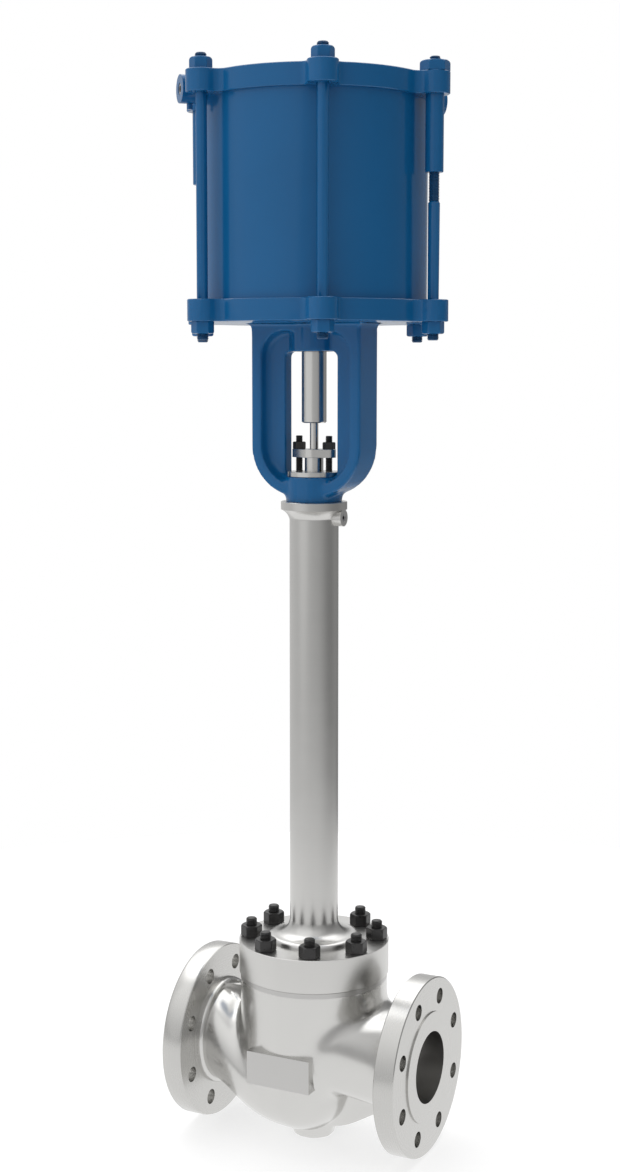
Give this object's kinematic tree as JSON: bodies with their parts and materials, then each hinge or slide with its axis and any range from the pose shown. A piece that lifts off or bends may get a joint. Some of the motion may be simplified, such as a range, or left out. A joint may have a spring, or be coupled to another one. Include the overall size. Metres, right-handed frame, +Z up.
{
  "type": "globe control valve",
  "caption": "Flanged globe control valve with a long extended bonnet, an open yoke and a spring-return piston actuator on top.",
  "frame": {"origin": "centre of the inlet bore in the plane of the inlet raised face", "axes": "+X along the pipe from inlet to outlet, +Z up along the stem towards the actuator, +Y away from the side with the cast pad"},
  "size_m": [0.3996, 0.351, 1.5254],
  "materials": {
    "stainless_body": "satin brushed stainless casting, machined faces finer",
    "blue_paint": "semi-gloss blue enamel",
    "black_bolting": "black oxide, slightly oily",
    "grey_plug": "plain steel plug",
    "graphite": "graphite sheet",
    "ptfe": "white fluoropolymer",
    "trim_steel": "turned stainless",
    "bright_steel": "fine ground stainless",
    "bronze": "turned bronze",
    "rubber_seal": "black elastomer",
    "piston_aluminium": "turned aluminium",
    "spring_steel": "black coated spring wire"
  },
  "bodies": {
    "housing": {"valve_body": "stainless_body", "extension_bonnet": "stainless_body", "bonnet_studs": "black_bolting", "bonnet_nuts": "black_bolting", "yoke": "blue_paint", "cylinder": "blue_paint", "top_cover": "blue_paint", "tie_rods": "blue_paint", "release_rods": "blue_paint", "release_sleeve_nuts": "blue_paint", "breather": "grey_plug", "top_nuts": "blue_paint", "bottom_nuts": "blue_paint", "vent_plugs": "grey_plug", "seat_gasket": "graphite", "bonnet_gasket": "graphite", "packing_rings": "ptfe", "seat_ring": "trim_steel", "cage": "trim_steel", "lower_guide_bushing": "bronze", "upper_guide_bushing": "bronze", "lantern_ring": "trim_steel", "packing_follower": "bright_steel", "gland_flange": "bright_steel", "gland_studs": "black_bolting", "gland_nuts": "black_bolting", "purge_plug": "grey_plug", "yoke_locknut": "bright_steel", "rod_wiper": "rubber_seal", "rod_bushing": "bronze", "rod_seal": "rubber_seal", "seal_retainer": "trim_steel", "lower_cover_seal": "rubber_seal", "top_cover_seal": "rubber_seal", "spring_plate": "trim_steel", "main_spring": "spring_steel"},
    "stem_assembly": {"plug": "trim_steel", "plug_seal": "ptfe", "valve_stem": "bright_steel", "stem_pin": "bright_steel", "piston_rod": "bright_steel", "piston": "piston_aluminium", "piston_seal": "rubber_seal", "piston_wear_band": "ptfe", "piston_nut": "trim_steel"}
  },
  "joints": [
    {"name": "stem_travel", "type": "slide", "parent": "housing", "child": "stem_assembly", "axis": [0, 0, 1], "range_m": [0, 0.05], "stiffness_N_per_m": 2000, "springref_m": -0.05, "deforming": ["main_spring"]}
  ]
}
